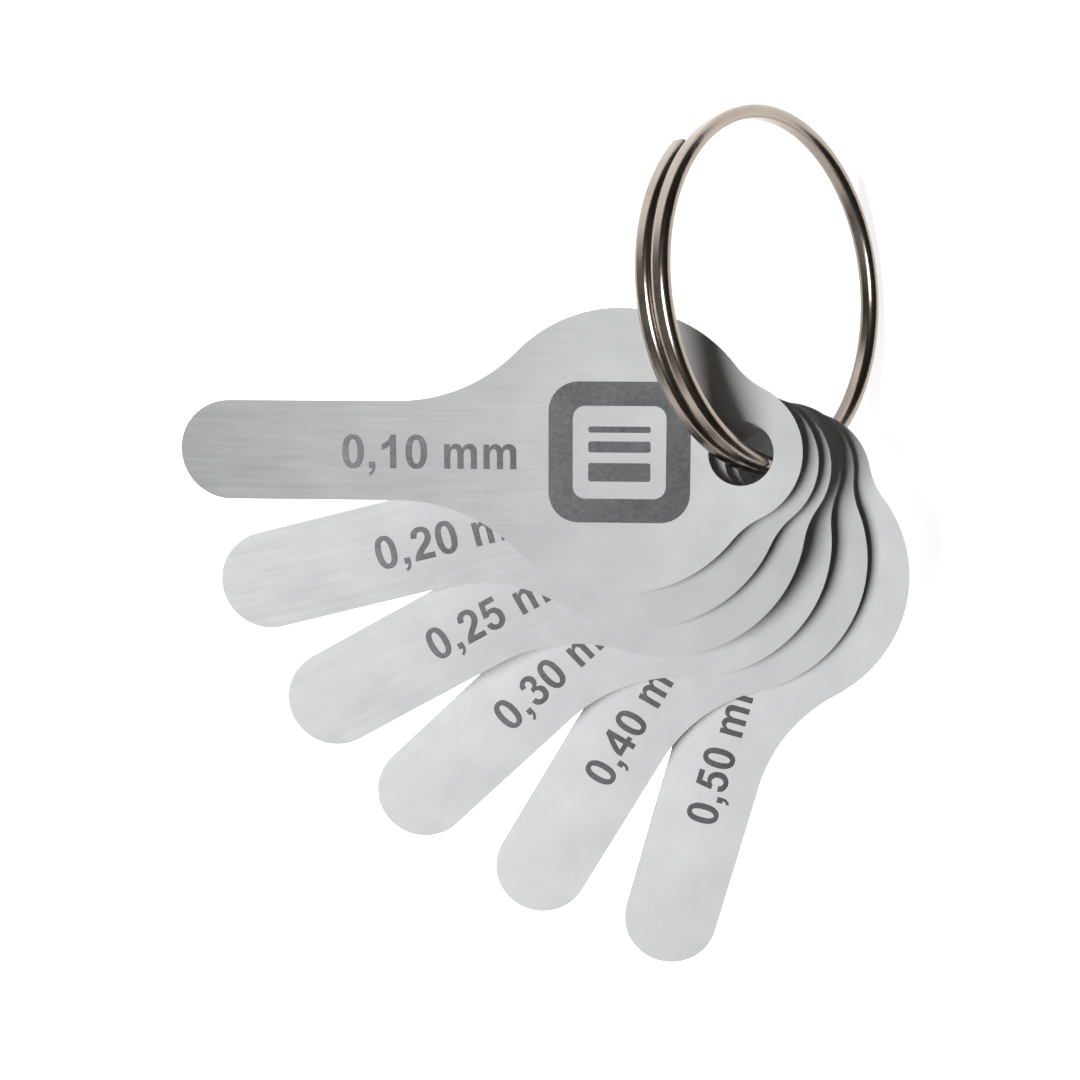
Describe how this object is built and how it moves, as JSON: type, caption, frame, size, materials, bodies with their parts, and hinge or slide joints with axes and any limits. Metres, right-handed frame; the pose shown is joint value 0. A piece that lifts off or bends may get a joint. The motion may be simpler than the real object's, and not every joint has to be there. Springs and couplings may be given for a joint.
{
  "type": "feeler gauge",
  "caption": "Feeler gauge: flat thickness leaves with round grip discs and long rounded blades, fanned out on a split key ring.",
  "frame": {"origin": "under the middle of the whole gauge's bounding box, at the height of its lowest point", "axes": "+Z is the normal of every leaf, so the leaves lie level one above another; the split ring leans about the Y axis; the blades fan out towards -X and -Y, with the thinnest leaf on top"},
  "size_m": [0.0596, 0.0714, 0.0242],
  "materials": {
    "leaf_steel": "satin rolled spring steel strip",
    "ring_steel": "bright nickel plate"
  },
  "bodies": {
    "ring": {"split_ring": "ring_steel"},
    "leaf_0_10": {"leaf_0_10": "leaf_steel"},
    "leaf_0_20": {"leaf_0_20": "leaf_steel"},
    "leaf_0_25": {"leaf_0_25": "leaf_steel"},
    "leaf_0_30": {"leaf_0_30": "leaf_steel"},
    "leaf_0_40": {"leaf_0_40": "leaf_steel"},
    "leaf_0_50": {"leaf_0_50": "leaf_steel"}
  },
  "joints": [
    {"name": "leaf_0_10_swing", "type": "hinge", "parent": "ring", "child": "leaf_0_10", "pos_m": [0.01491, 0.00871, 0.01772], "axis": [0, 0, 1], "range_deg": [-55, 260]},
    {"name": "leaf_0_20_swing", "type": "hinge", "parent": "ring", "child": "leaf_0_20", "pos_m": [0.0161, 0.00776, 0.01636], "axis": [0, 0, 1], "range_deg": [-75, 250]},
    {"name": "leaf_0_25_swing", "type": "hinge", "parent": "ring", "child": "leaf_0_25", "pos_m": [0.01706, 0.00724, 0.0151], "axis": [0, 0, 1], "range_deg": [-95, 235]},
    {"name": "leaf_0_30_swing", "type": "hinge", "parent": "ring", "child": "leaf_0_30", "pos_m": [0.01784, 0.00671, 0.01273], "axis": [0, 0, 1], "range_deg": [-110, 215]},
    {"name": "leaf_0_40_swing", "type": "hinge", "parent": "ring", "child": "leaf_0_40", "pos_m": [0.01884, 0.00639, 0.01119], "axis": [0, 0, 1], "range_deg": [-125, 200]},
    {"name": "leaf_0_50_swing", "type": "hinge", "parent": "ring", "child": "leaf_0_50", "pos_m": [0.02, 0.00541, 0.01004], "axis": [0, 0, 1], "range_deg": [-140, 185]}
  ]
}
